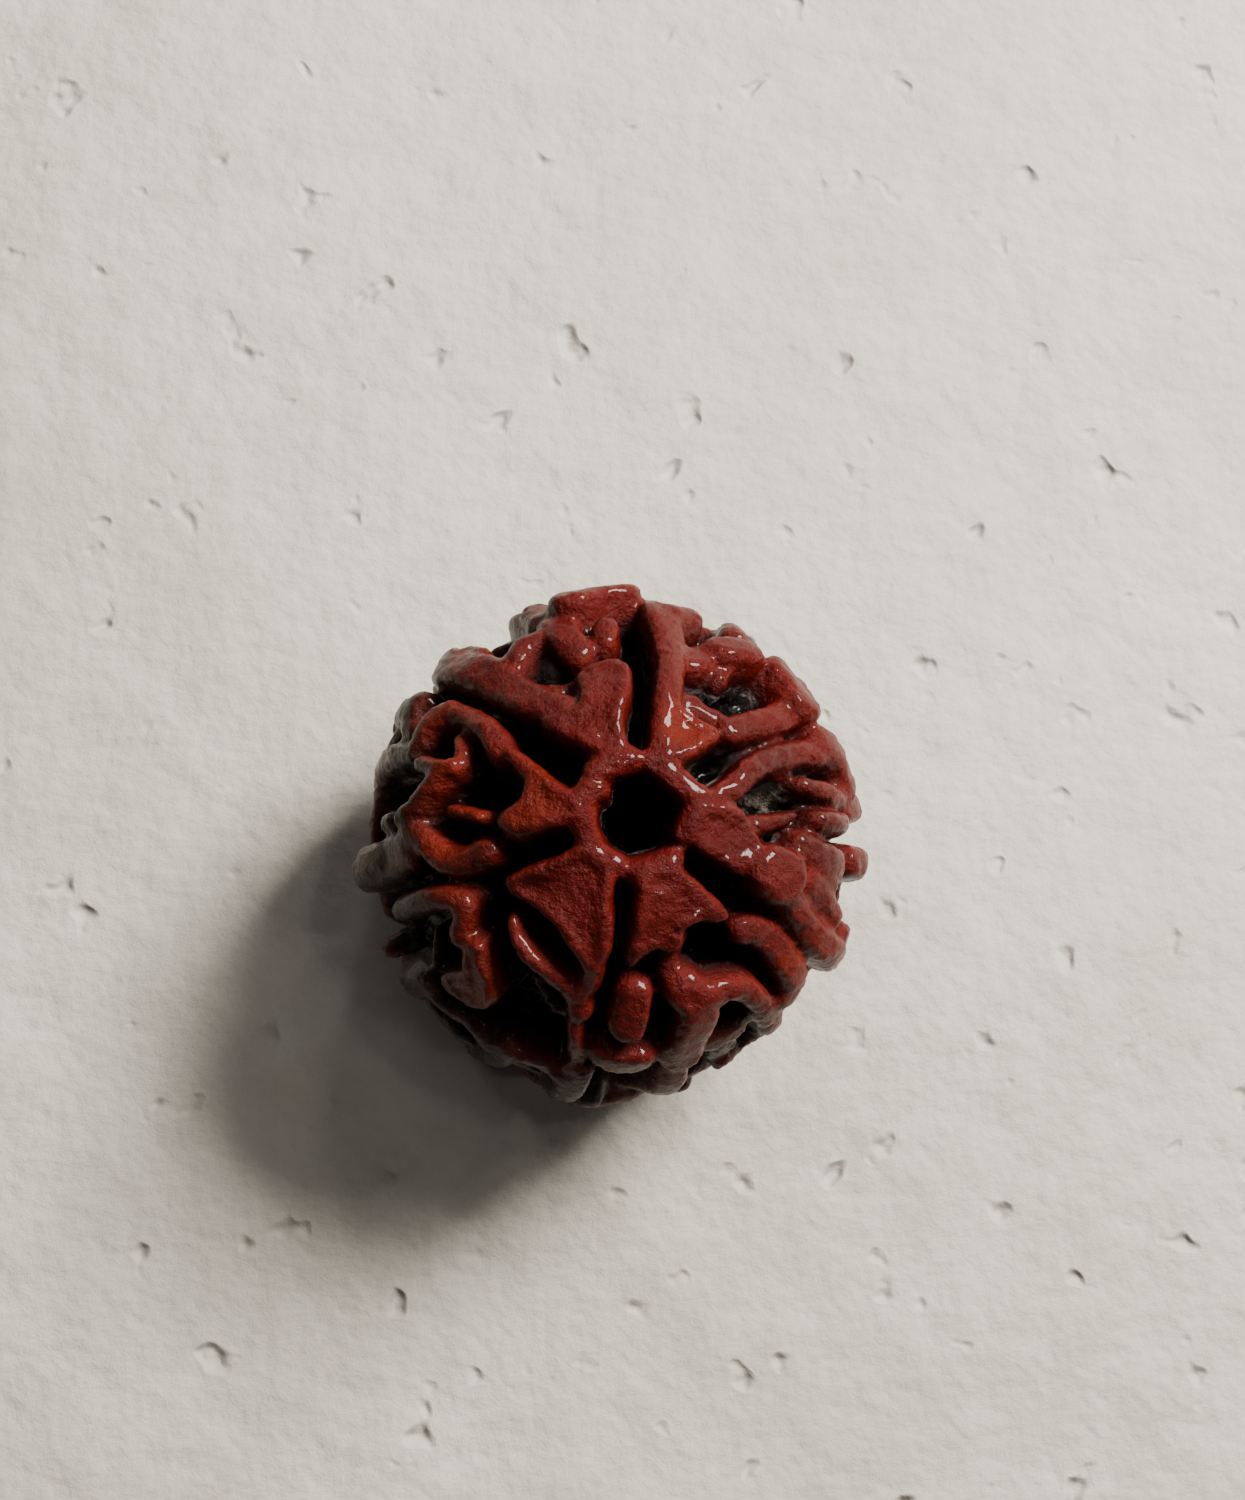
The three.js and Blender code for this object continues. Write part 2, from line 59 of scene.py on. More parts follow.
# Relief, in millimetres below the crest surface
FACE_FLOOR = 2.4
CLEFT_FLOOR = 3.2
CLEFT_HALF_WIDTH = 0.75
LOW_RIDGE_STEP = 2.2
CREST_ROUNDING = 0.52
ROUNDED_SHARE = 0.93
WALL_SLOPE = 5.0
BLEND = 0.2
PLATE_DISH = 0.2
PLATE_LIP = 0.75
PLATE_TRIM = -0.04
REACH = 1.6
WIDTH_SCALE = 0.95
CREST_SCATTER = 0.3
LUMP_HEIGHT = 0.07
LUMP_PITCH = 4.2
LUMP_WAVES = 9
UNDERCUT = 0.14
UNDERCUT_SPAN = 0.45
UNDERCUT_FADE = 0.35
SLOPE_PROBE = 0.03
FACE_OVERHANG = 10

# Mesh of the seed
COLUMNS = 560
ROWS = 250
BORE_ROWS = 44
BORE_RADIUS = 1.15
CURVE_STEPS = 6
VOXEL = 0.155
KEPT_FACES = 0.6
SMOOTHING_ROUNDS = 1
SMOOTHING_SHARE = 0.5

# Grain on the crests and crust in the furrows, in millimetres
GRAIN_HEIGHT = 0.06
GRAIN_PITCH = 1.1
GRAIN_SEED = 11
RESIDUE_HEIGHT = 0.14
RESIDUE_PITCH = 0.8
RESIDUE_SEED = 12
VALLEY_START = 0.9
VALLEY_END = 1.9
OCTAVE_WEIGHTS = (1.0, 0.6, 0.4)
WAVES_IN_OCTAVE = 6
WAVE_BEND = 1.7

# The six clefts, each as its longitude near the bore and at the waist
CLEFTS = [[29, 29], [87, 87], [142, 142], [199.5, 196], [261, 265], [325, 330]]

# A ridge is [height share, width at its start, width at its end, [[longitude, colatitude], ...]]
RIM = [
  [1, 1.3, 1.3, [[340, 12], [352, 12.5], [4, 14], [14, 14.5], [25, 12.5], [38, 12], [58, 12], [75, 12.5]]],
  [1, 1.2, 1.2, [[98, 12.5], [116, 12.5], [135, 13.5]]],
  [1, 0.9, 0.9, [[148, 13], [150, 10]]],
  [1, 1.2, 1.2, [[160, 12.5], [175, 12.5], [192, 12.5], [205, 12.5], [225, 13], [245, 12.5]]],
  [0.9, 0.9, 0.9, [[245, 12.5], [258, 13], [270, 13]]],
  [1, 1.2, 1.2, [[270, 13], [290, 12.5], [308, 13]]],
]

FIRST_FACE = [
  [1.05, 1.25, 1.3, [[69, 15], [74, 25], [75.5, 34], [76, 41]]],
  [1.12, 1.4, 2.1, [[77, 43], [78, 50], [80, 58], [80.5, 68]]],
  [1.1, 1.3, 1.4, [[77, 60], [73, 65]]],
  [0.85, 1.3, 1.1, [[64, 33], [58, 32.5], [51, 34]]],
  [1, 1.6, 1.8, [[69, 46], [66, 51], [62, 54]]],
  [1.1, 1.8, 1.8, [[62, 54], [58, 56.5], [56, 59]]],
  [0.8, 1.3, 1.1, [[60, 54], [59, 46]]],
  [0.75, 1.1, 1, [[67, 50], [68, 44]]],
  [1, 1.3, 1.6, [[43.5, 33], [39.5, 41], [36.5, 50], [36.5, 58]]],
  [1.2, 2.1, 2.3, [[37, 60], [41, 63], [44.5, 64]]],
  [1, 0.9, 1, [[33, 62], [34, 75]]],
]

SECOND_FACE = [
  [1, 1.8, 2, [[125, 32], [129, 37], [131, 43], [132, 50], [133, 58], [134.5, 68]]],
  [1, 1.2, 1.2, [[138, 71], [137, 78]]],
  [0.95, 1.3, 1.1, [[124, 53], [120, 55.5], [116.5, 55.5]]],
  [0.75, 0.8, 0.8, [[122, 41], [117, 38.5], [112, 38]]],
  [1, 1.5, 1.7, [[107, 46], [108.5, 52], [109, 60]]],
  [1.4, 2.1, 2.2, [[103, 62], [98, 65.5], [91.5, 68]]],
  [1.3, 1.2, 1.3, [[91.5, 68], [91.5, 78]]],
  [1.05, 1.1, 1.25, [[97.5, 47.5], [96.5, 51.5]]],
  [1.15, 1.7, 1.7, [[110, 67], [109.5, 75]]],
  [1, 0.9, 0.9, [[128, 68], [129, 74]]],
]

THIRD_FACE = [
  [1, 1.4, 1.1, [[153, 36.5], [149, 40], [147, 43.5]]],
  [1, 1.1, 1.1, [[147, 43.5], [146, 50], [146.5, 56]]],
  [1, 1.3, 1.3, [[147, 57], [151, 61], [156, 63]]],
  [0.9, 0.75, 0.75, [[153, 50], [156.5, 47], [162, 45]]],
  [1, 0.8, 0.8, [[163, 57], [164, 50], [163.5, 46]]],
  [1, 0.95, 0.95, [[167, 49], [171, 52], [175, 55], [178, 60]]],
  [0.95, 0.7, 0.7, [[176.5, 46], [179, 38]]],
  [1, 1.2, 1.4, [[181.5, 57], [185, 53], [189.5, 50], [193, 46], [194, 41], [193, 36.5]]],
  [1, 1.9, 2.1, [[186, 60], [187, 72], [187, 84]]],
  [1, 1, 1, [[178, 66], [178, 70]]],
  [0.95, 1.1, 1.1, [[160, 64], [160, 75]]],
  [0.95, 1.1, 1.1, [[153, 70], [153, 75]]],
  [1, 1.1, 1.1, [[146, 72], [146, 77]]],
  [1, 1.3, 1.3, [[186, 26.5], [185, 28]]],
]

FOURTH_FACE = [
  [1, 0.6, 1.25, [[220, 38], [226, 40], [233, 41], [240, 42], [247, 44], [253, 47], [255.5, 51]]],
  [1, 1.1, 1.2, [[255.5, 38], [255.5, 42], [254, 46]]],
  [1, 0.7, 0.85, [[255, 54], [257, 60.5], [259, 70]]],
  [1, 1.2, 1.1, [[199.5, 69], [200, 62], [201, 55], [203, 49.5], [206.5, 47], [210.5, 49], [214, 53]]],
  [0.9, 0.5, 0.6, [[209, 61], [214, 66], [219, 71]]],
  [1, 1.1, 1.1, [[220, 74], [226, 74], [233, 72], [239, 75], [245, 73], [251, 74], [258, 77]]],
  [0.5, 1, 1, [[240, 50], [250, 57]]],
]

FIFTH_FACE = [
  [0.75, 1.3, 1, [[290, 30.5], [286, 35], [283, 39]]],
  [1.05, 1.7, 1.7, [[271, 43.5], [269.5, 51.5]]],
  [1, 1.8, 1.8, [[266, 63], [270, 64], [273.5, 63]]],
  [1, 1.9, 2.1, [[288, 43.5], [291, 48], [290, 54], [286.5, 61], [285, 66]]],
  [1, 1.3, 1.2, [[292, 46], [297, 48.5]]],
  [1, 1.2, 1.2, [[295, 46.5], [301.5, 48.5], [306.5, 53], [308.5, 60]]],
  [0.95, 1.4, 1.5, [[309.5, 66], [310.5, 71]]],
  [0.7, 1.6, 1.6, [[294, 69], [301, 69]]],
  [1.05, 1.4, 1.6, [[316, 38.5], [320, 42], [321.5, 48], [321, 55], [320, 64], [316, 68]]],
]

SIXTH_FACE = [
  [1, 1.2, 1.3, [[12, 18], [18, 25], [23.5, 31], [25, 37], [25, 44.5], [24, 53], [22, 58]]],
  [0.7, 1.2, 0.9, [[23, 40], [18.5, 46]]],
  [1, 1.8, 2, [[25, 61], [21, 69], [15, 74]]],
  [1, 0.9, 1.1, [[14, 48], [12, 55], [10.5, 61.5], [10, 70]]],
  [0.9, 1.1, 0.5, [[358, 29], [0.5, 35.5], [4, 42.5]]],
  [1, 0.9, 1.1, [[2.5, 49], [2.5, 55], [3, 64]]],
  [0.7, 0.9, 1, [[357, 46], [357, 54]]],
  [1, 1.6, 1.7, [[353, 44], [351, 51], [351, 59]]],
  [1.15, 1.3, 1.6, [[334.5, 44], [332, 52], [331, 61], [331.5, 76]]],
  [1.15, 2.4, 2.5, [[340, 35], [340, 38]]],
  [1, 1.4, 1.3, [[342.5, 48], [341.5, 54], [339, 62]]],
  [1, 0.8, 0.9, [[346, 52], [345.5, 58]]],
]

FACE_RIDGES = [FIRST_FACE, SECOND_FACE, THIRD_FACE, FOURTH_FACE, FIFTH_FACE, SIXTH_FACE]

# The flat-topped shields round the bore, as [face number, outline in longitude and colatitude]
PLATES = [
  [0, [[72, 14], [76, 25], [73, 31], [66, 28], [57, 28], [47, 29], [43.5, 27], [45, 22], [50, 16],
    [56, 13]]],
  [1, [[97, 40.5], [91, 37], [91, 33], [93, 27], [98, 22], [99, 17], [97, 12], [112, 11], [125, 15],
    [132, 21.5], [135, 25], [136, 30], [134, 32], [126, 30], [117, 29], [114, 32], [112, 38], [104, 40]]],
  [2, [[152, 35], [156, 33], [162, 27.5], [170, 26.5], [175, 28.5], [180, 32.5], [184, 32], [189, 29],
    [191, 24], [191, 14], [180, 11], [165, 12], [160, 17], [155.5, 22], [151, 28], [150, 32]]],
  [3, [[209, 12], [208, 21], [205.5, 28], [205.5, 34.5], [211, 35], [219, 32.5], [227, 31.5], [235, 31.5],
    [247, 35], [254, 39], [258, 38], [260, 32], [258.5, 26], [253, 20], [247, 12]]],
  [3, [[215.5, 50], [219, 47], [223.5, 49], [229, 52], [233.5, 56], [233, 61], [229, 65], [223, 67.5],
    [218.5, 66.5], [220, 62], [221.5, 58], [218, 54]]],
  [4, [[268, 12], [268, 22], [266.5, 33], [268.5, 36.5], [274, 33.5], [280.5, 31.5], [285.5, 33.5],
    [291, 32.5], [294.5, 28.5], [302, 28.5], [311, 32], [315, 32], [315.5, 28], [313, 21], [309, 13]]],
  [5, [[10, 13], [10, 20], [5, 25], [354, 29], [347, 31], [342.5, 30.5], [338, 28.5], [332, 28],
    [330.5, 22], [331, 14], [345, 10]]],
]

# The lower half repeats the faces of the upper one from the far side of the bore
FACE_COUNT = len(CLEFTS)
LOWER_SOURCE = [3, 4, 5, 0, 1, 2]

# Ridges that tie the two halves together round the waist, as [height, longitudes at three levels]
WAIST_LEVELS = [73, 90, 107]
WAIST_TIES = [
  [1, 78, 80, 76], [1, 60, 61, 64], [1, 42, 42, 46], [1, 22, 23, 19], [1, 8, 10, 7], [1, 355, 356, 359],
  [1, 336, 338, 334], [0.7, 320, 320, 323], [0.7, 311, 311, 307], [0.6, 299, 297, 301], [0.9, 283, 281, 277],
  [1, 260, 258, 257], [1, 242, 241, 237], [1, 218, 214, 218], [1, 186, 188, 184], [0.85, 160, 161, 165],
  [1, 149, 148, 145], [1, 134, 132, 135], [0.9, 111, 112, 107], [1, 98, 96, 99],
]
TIE_WIDTH = 1.5

# Branches between those, just below the waist
WAIST_LINKS = [
  [0.85, 1.2, 1, [[61, 93], [69, 90], [78, 95]]],
  [0.8, 1, 1.2, [[43, 96], [51, 99], [61, 96]]],
  [0.85, 1.1, 1.1, [[97, 95], [104, 92], [111, 97]]],
  [0.8, 1.2, 1, [[112, 99], [121, 96], [129, 100], [133, 97]]],
  [0.85, 1.1, 1, [[147, 92], [154, 96], [162, 93]]],
  [0.8, 1.2, 1.1, [[162, 98], [172, 93], [181, 96], [187, 92]]],
  [0.85, 1.1, 1.2, [[215, 92], [224, 96], [232, 93], [241, 97]]],
  [0.8, 1.1, 1, [[241, 90], [249, 94], [259, 91]]],
  [0.85, 1.2, 1, [[281, 97], [289, 94], [297, 98]]],
  [0.8, 1.1, 1.1, [[297, 90], [304, 94], [311, 91]]],
  [0.85, 1, 1.2, [[338, 98], [347, 94], [356, 97]]],
  [0.8, 1.1, 1, [[9, 94], [15, 98], [22, 95]]],
]

# Seeded draws
DRAW_SEED = 4032
DRAW_FACTOR = 1664525
DRAW_STEP = 1013904223
DRAW_RANGE = 4294967296

# Grey-brown husk left in the furrows, as [longitude, colatitude, radius in millimetres]
HUSK_PATCHES = [[28, 19, 1.1], [87, 15, 0.9], [12, 42, 1.2], [355, 40, 0.9], [17, 53, 1.0], [113, 54, 1.1]]

# Painted warm light: spots where the skin is painted orange as if a warm lamp lit it, as [longitude,
# colatitude, radius in millimetres]
PAINTED_WARM_LIGHT_SPOTS = [[184, 48, 4.6], [222, 62, 3.6], [176, 30, 2.6], [160, 56, 3.0], [318, 60, 2.0], [60, 24, 1.4]]

# Painted shade on the walls low on the side away from the window, dark brown streaked with fibre, as
# [longitude, colatitude, radius in millimetres]
PAINTED_SHADE_SPOTS = [[172, 68, 3.4], [206, 76, 4.4], [232, 86, 4.6], [258, 92, 3.6], [150, 84, 3.2]]


class Draw:
    """The same seeded draws as the seed's solid."""

    def __init__(self, seed):
        self.state = seed

    def __call__(self):
        self.state = (self.state * DRAW_FACTOR + DRAW_STEP) % DRAW_RANGE
        return self.state / DRAW_RANGE


random = Draw(DRAW_SEED)


def directions(readings):
    longitude, colatitude = np.radians(np.array(readings, float)).T
    ring = np.sin(colatitude)
    return np.stack([ring * np.cos(longitude), ring * np.sin(longitude), np.cos(colatitude)], -1)


def unit_rows(vectors):
    return vectors / np.linalg.norm(vectors, axis=-1, keepdims=True)


def smoothstep(low, high, value):
    share = np.clip((value - low) / (high - low), 0, 1)
    return share * share * (3 - 2 * share)


def spline(points, steps):
    """A smooth curve through the points."""
    if len(points) == 2:
        share = np.linspace(0, 1, steps + 1)[:, None]
        return points[0] * (1 - share) + points[1] * share
    ends = np.vstack([2 * points[0] - points[1], points, 2 * points[-1] - points[-2]])
    share = (np.arange(steps) / steps)[:, None]
    pieces = []
    for a, b, c, d in zip(ends, ends[1:], ends[2:], ends[3:]):
        line = 2 * b + (c - a) * share + (2 * a - 5 * b + 4 * c - d) * share**2
        pieces.append(0.5 * (line + (3 * b - a - 3 * c + d) * share**3))
    return np.vstack(pieces + [points[-1:]])


class Shape:
    """A raised form, with a flat map of the crest surface about its own middle."""

    def __init__(self, readings):
        points = directions(readings)
        self.centre = unit_rows(points.sum(0))
        self.east = unit_rows(np.cross([0.0, 0.0, 1.0], self.centre))
        self.north = np.cross(self.centre, self.east)
        self.flat = self.flatten(points)

    def flatten(self, units):
        angle = np.arccos(np.clip(units @ self.centre, -1, 1))
        flat = np.stack([units @ self.east, units @ self.north], -1)
        length = np.maximum(np.linalg.norm(flat, axis=-1), 1e-9)
        return flat * (angle * MEAN_RADIUS / length)[:, None]

    def near(self, units):
        radius = np.linalg.norm(self.flat, axis=-1).max() + REACH
        return units @ self.centre > math.cos(radius / MEAN_RADIUS)


def segment_distance(points, start, end):
    along = end - start
    share = np.clip((points - start) @ along / (along @ along), 0, 1)
    return share, np.linalg.norm(points - start - share[:, None] * along, axis=-1)


class Ridge(Shape):
    def __init__(self, height, start_width, end_width, readings):
        super().__init__(readings)
        self.step = (1 - height) * LOW_RIDGE_STEP + CREST_SCATTER * random()
        self.halves = (start_width * WIDTH_SCALE / 2, end_width * WIDTH_SCALE / 2)
        self.line = spline(self.flat, CURVE_STEPS)

    def outside(self, points):
        nearest = np.full(len(points), np.inf)
        last = len(self.line) - 1
        for i in range(last):
            share, distance = segment_distance(points, self.line[i], self.line[i + 1])
            place = (i + share) / last
            half = self.halves[0] * (1 - place) + self.halves[1] * place
            nearest = np.minimum(nearest, distance - half)
        return nearest

    def fall(self, outside):
        return self.step + edge_fall(outside)


class Plate(Shape):
    def outside(self, points):
        nearest = np.full(len(points), np.inf)
        inside = np.zeros(len(points), bool)
        x, y = points.T
        for start, end in zip(np.roll(self.flat, 1, 0), self.flat):
            nearest = np.minimum(nearest, segment_distance(points, start, end)[1])
            if start[1] != end[1]:
                crossing = start[0] + (y - start[1]) / (end[1] - start[1]) * (end[0] - start[0])
                inside ^= ((start[1] > y) != (end[1] > y)) & (x < crossing)
        return np.where(inside, -nearest, nearest) + PLATE_TRIM

    def fall(self, outside):
        return edge_fall(outside) + PLATE_DISH * smoothstep(CREST_ROUNDING * 0.5, PLATE_LIP, -outside)


def edge_fall(outside):
    share = np.clip(1 + outside / CREST_ROUNDING, 0, ROUNDED_SHARE)
    rounded = CREST_ROUNDING * (1 - np.sqrt(1 - share * share))
    return rounded + WALL_SLOPE * np.maximum(0, outside + CREST_ROUNDING * (1 - ROUNDED_SHARE))


def smooth_min(a, b):
    overlap = np.maximum(BLEND - np.abs(a - b), 0) / BLEND
    return np.minimum(a, b) - overlap * overlap * BLEND / 4


def face_span(face):
    start = CLEFTS[face % FACE_COUNT][0]
    end = CLEFTS[(face + 1) % FACE_COUNT][0]
    return start, end if end > start else end + 360


def carry_below(reading, source, target):
    """A reading of one face, carried to the lower half of another."""
    longitude, colatitude = reading
    from_start, from_end = face_span(source)
    to_start, to_end = face_span(target)
    turned = longitude + 360 if longitude < from_start - FACE_OVERHANG else longitude
    share = (turned - from_start) / (from_end - from_start)
    return [to_start + share * (to_end - to_start), 180 - colatitude]


def build_shapes():
    shapes = []
    for height, start_width, end_width, readings in RIM:
        below = [[longitude, 180 - colatitude] for longitude, colatitude in readings]
        shapes.append(Ridge(height, start_width, end_width, readings))
        shapes.append(Ridge(height, start_width, end_width, below))
    for face in FACE_RIDGES:
        shapes.extend(Ridge(*ridge) for ridge in face)
    shapes.extend(Plate(outline) for _, outline in PLATES)
    for face in range(FACE_COUNT):
        source = LOWER_SOURCE[face]
        for height, start_width, end_width, readings in FACE_RIDGES[source]:
            below = [carry_below(reading, source, face) for reading in readings]
            shapes.append(Ridge(height, start_width, end_width, below))
        for owner, outline in PLATES:
            if owner == source:
                shapes.append(Plate([carry_below(reading, source, face) for reading in outline]))
    for height, *longitudes in WAIST_TIES:
        shapes.append(Ridge(height, TIE_WIDTH, TIE_WIDTH, list(zip(longitudes, WAIST_LEVELS))))
    shapes.extend(Ridge(*link) for link in WAIST_LINKS)
    return shapes


def lump_waves():
    waves = []
    for _ in range(LUMP_WAVES):
        heading = directions([[360 * random(), 180 * random()]])[0]
        waves.append((heading, 2 * math.pi * random()))
    return waves


LUMPS = lump_waves()
SHAPES = build_shapes()


def cleft_depth(units):
    longitude = np.degrees(np.arctan2(units[:, 1], units[:, 0]))
    lean = np.hypot(units[:, 0], units[:, 1])
    depth = np.zeros(len(units))
    for inner, outer in CLEFTS:
        turn = (longitude - inner - (outer - inner) * lean + 180) % 360 - 180
        across = np.radians(turn) * lean * MEAN_RADIUS
        depth = np.maximum(depth, np.exp(-((across / CLEFT_HALF_WIDTH) ** 2)))
    return depth


def relief(units):
    """Depth below the crest surface and distance outside the nearest outline, for each direction."""
    fall = FACE_FLOOR + (CLEFT_FLOOR - FACE_FLOOR) * cleft_depth(units)
    outside = np.full(len(units), REACH)
    for shape in SHAPES:
        near = shape.near(units)
        if near.any():
            gap = shape.outside(shape.flatten(units[near]))
            fall[near] = smooth_min(fall[near], shape.fall(gap))
            outside[near] = np.minimum(outside[near], gap)
    return fall, outside


def crest_rise(units):
    """Height of the crest surface above the plain egg: the swell at the waist and the low lumps."""
    waist = 1 - units[:, 2] ** 2
    crest = units * SEMI_AXES
    lumps = sum(np.sin(2 * math.pi * (crest @ heading) / LUMP_PITCH + phase) for heading, phase in LUMPS)
    return WAIST_SWELL * waist**2 + LUMP_HEIGHT * lumps


def seed_surface(units):
    fall, outside = relief(units)
    east = unit_rows(np.stack([-units[:, 1], units[:, 0], np.zeros(len(units))], -1))
    north = np.cross(units, east)
    slopes = []
    for side in (east, north):
        moved = unit_rows(units + side * SLOPE_PROBE / MEAN_RADIUS)
        slopes.append((relief(moved)[1] - outside) / SLOPE_PROBE)
    fade = np.exp(-np.maximum(0, outside - UNDERCUT_SPAN) / UNDERCUT_FADE)
    pull = smoothstep(0, UNDERCUT_SPAN, outside) * fade
    shift = -UNDERCUT * pull[:, None] * (slopes[0][:, None] * east + slopes[1][:, None] * north)
    outward = unit_rows(units / SEMI_AXES)
    points = units * SEMI_AXES + outward * (crest_rise(units) - fall)[:, None]
    return points + shift + SEED_CENTRE


def ring_mesh():
    """Rings from the upper mouth of the bore down the outside, then back up the bore."""
    mouth = math.asin(BORE_RADIUS / CREST_RADIUS)
    longitudes = np.arange(COLUMNS) * 2 * math.pi / COLUMNS
    colatitudes = np.linspace(mouth, math.pi - mouth, ROWS)
    grid = np.stack(np.meshgrid(np.degrees(longitudes), np.degrees(colatitudes)), -1).reshape(-1, 2)
    outside = seed_surface(directions(grid))
    first, last = outside[:COLUMNS], outside[-COLUMNS:]
    shares = np.linspace(0, 1, BORE_ROWS + 2)[1:-1, None, None]
    bore = (last * (1 - shares) + first * shares).reshape(-1, 3)
    points = np.vstack([outside, bore])
    points[:, 2] = np.maximum(points[:, 2], 0)
    rings = ROWS + BORE_ROWS
    index = np.arange(rings * COLUMNS).reshape(rings, COLUMNS)
    below = np.roll(index, -1, 0)
    quads = np.stack([index, below, np.roll(below, -1, 1), np.roll(index, -1, 1)], -1)
    mesh = bpy.data.meshes.new("rudraksha_relief")
    mesh.from_pydata(points, [], quads.reshape(-1, 4).tolist())
    return mesh


def tangent_grain(points, pitch, seed):
    """Seeded smooth noise at each point, in octaves of waves that bend one another."""
    generator = np.random.default_rng(seed)
    value = np.zeros(len(points))
    for octave, weight in enumerate(OCTAVE_WEIGHTS):
        bend = np.zeros(len(points))
        for _ in range(WAVES_IN_OCTAVE):
            heading = unit_rows(generator.normal(size=3)) * 2 * math.pi * 2**octave / pitch
            bend = np.sin(points @ heading + generator.uniform(0, 2 * math.pi) + WAVE_BEND * bend)
            value += weight * bend / WAVES_IN_OCTAVE
    return value


def mesh_points(mesh):
    flat = np.zeros(len(mesh.vertices) * 3)
    mesh.vertices.foreach_get("co", flat)
    return flat.reshape(-1, 3)


def smooth_points(points, edges, rounds, share):
    """Draws each point toward the middle of its neighbours."""
    for _ in range(rounds):
        total = np.zeros_like(points)
        count = np.zeros(len(points))
        for a, b in ((0, 1), (1, 0)):
            for axis in range(3):
                total[:, axis] += np.bincount(edges[:, a], points[edges[:, b], axis], len(points))
            count += np.bincount(edges[:, a], minlength=len(points))
        points = points + share * (total / count[:, None] - points)
    return points


def from_centre(points):
    """Direction of each point and its depth below the crest surface."""
    local = (points - SEED_CENTRE) / SEMI_AXES
    share = np.linalg.norm(local, axis=-1)
    units = local / share[:, None]
    depth = (1 - share) * MEAN_RADIUS + crest_rise(units)
    return units, depth


def drop_specks(mesh):
    """Keeps only the largest body of faces that hang together."""
    form = bmesh.new()
    form.from_mesh(mesh)
    waiting = set(form.verts)
    bodies = []
    while waiting:
        front = [waiting.pop()]
        body = list(front)
        while front:
            for edge in front.pop().link_edges:
                fresh = [point for point in edge.verts if point in waiting]
                waiting.difference_update(fresh)
                front.extend(fresh)
                body.extend(fresh)
        bodies.append(body)
    bodies.sort(key=len)
    specks = [point for body in bodies[:-1] for point in body]
    bmesh.ops.delete(form, geom=specks, context="VERTS")
    form.to_mesh(mesh)
    form.free()


def store(mesh, name, values):
    attribute = mesh.attributes.new(name, "FLOAT", "POINT")
    attribute.data.foreach_set("value", np.asarray(values, np.float32))


def spot_share(units, spots):
    """1 in the middle of a spot, falling to 0 round its edge."""
    share = np.zeros(len(units))
    for longitude, colatitude, radius in spots:
        middle = directions([[longitude, colatitude]])[0]
        distance = np.arccos(np.clip(units @ middle, -1, 1)) * MEAN_RADIUS
        share = np.maximum(share, 1 - smoothstep(radius * 0.5, radius * 1.2, distance))
    return share


def even_mesh(raw):
    """The rings as one body of even faces, in millimetres."""
    body = bpy.data.objects.new("rings", raw)
    bpy.context.scene.collection.objects.link(body)
    remesh = body.modifiers.new("even_faces", "REMESH")
    remesh.mode = "VOXEL"
    remesh.voxel_size = VOXEL
    fewer = body.modifiers.new("fewer_faces", "DECIMATE")
    fewer.ratio = KEPT_FACES
    depsgraph = bpy.context.evaluated_depsgraph_get()
    mesh = bpy.data.meshes.new_from_object(body.evaluated_get(depsgraph))
    bpy.data.objects.remove(body)
    bpy.data.meshes.remove(raw)
    drop_specks(mesh)
    mesh.name = "rudraksha"
    return mesh


def make_seed():
    mesh = even_mesh(ring_mesh())
    edges = np.zeros(len(mesh.edges) * 2, int)
    mesh.edges.foreach_get("vertices", edges)
    edges = edges.reshape(-1, 2)
    points = smooth_points(mesh_points(mesh), edges, SMOOTHING_ROUNDS, SMOOTHING_SHARE)
    mesh.vertices.foreach_set("co", points.ravel())
    mesh.update()
    normals = np.zeros(len(mesh.vertices) * 3)
    mesh.vertex_normals.foreach_get("vector", normals)
    units, depth = from_centre(points)
    valley = smoothstep(VALLEY_START, VALLEY_END, depth)
    grain = GRAIN_HEIGHT * (1 - valley) * tangent_grain(points, GRAIN_PITCH, GRAIN_SEED)
    residue = RESIDUE_HEIGHT * valley * tangent_grain(points, RESIDUE_PITCH, RESIDUE_SEED)
    points = points + normals.reshape(-1, 3) * (grain + residue)[:, None]
    points[:, 2] = np.maximum(points[:, 2], 0)
    mesh.vertices.foreach_set("co", (points * MM).ravel())
    mesh.polygons.foreach_set("use_smooth", np.ones(len(mesh.polygons), bool))

    store(mesh, "depth", depth)
    store(mesh, "outside", relief(units)[1])
    store(mesh, "patch", spot_share(units, HUSK_PATCHES))
    # Share of painted warm light on the skin
    store(mesh, "painted_warm_light", spot_share(units, PAINTED_WARM_LIGHT_SPOTS))
    # Share of painted shade on the low walls away from the window
    store(mesh, "painted_shade", spot_share(units, PAINTED_SHADE_SPOTS))
    mesh.update()
    seed = bpy.data.objects.new("rudraksha", mesh)
    bpy.context.scene.collection.objects.link(seed)
    return seed


